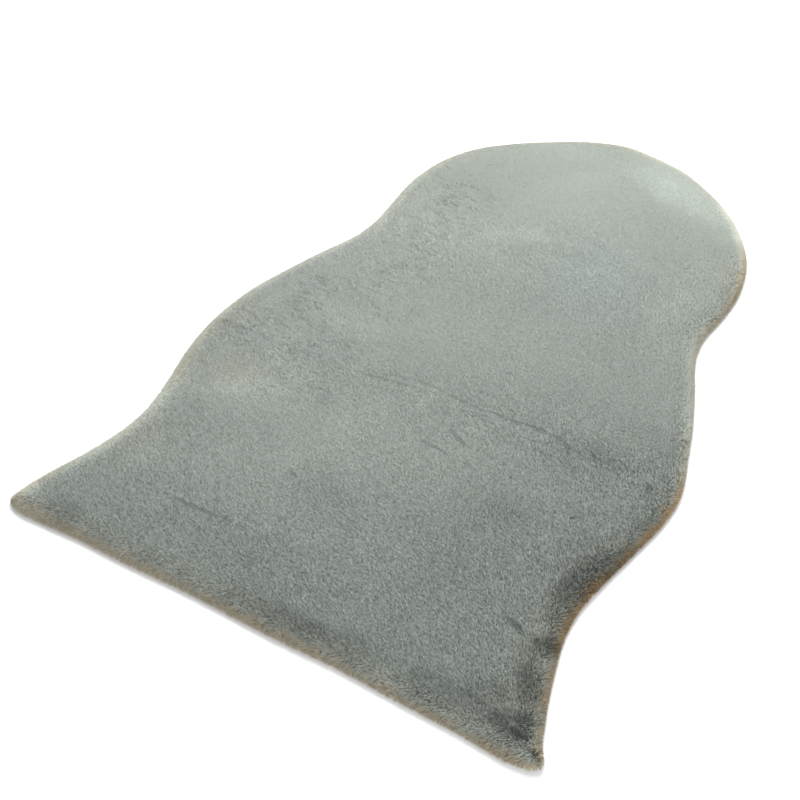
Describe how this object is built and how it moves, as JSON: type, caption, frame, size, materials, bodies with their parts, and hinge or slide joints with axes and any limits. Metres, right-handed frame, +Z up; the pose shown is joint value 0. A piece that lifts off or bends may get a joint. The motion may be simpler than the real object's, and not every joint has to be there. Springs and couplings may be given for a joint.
{
  "type": "faux fur rug",
  "caption": "Short-pile faux fur rug cut to a sheepskin shape, with a straight hem, flared corners, two waists and a round head, lying flat.",
  "frame": {"origin": "on the floor, at the middle of the footprint's bounding box", "axes": "+Y from the straight hem to the round head, +X to the right-hand side seen from above, +Z up out of the pile"},
  "size_m": [0.5906, 0.9, 0.019],
  "materials": {
    "faux_fur": "sage-grey short plush pile, soft and matt with a faint sheen, brushed a little unevenly"
  },
  "bodies": {
    "root": {"fur_panel": "faux_fur"}
  },
  "joints": []
}
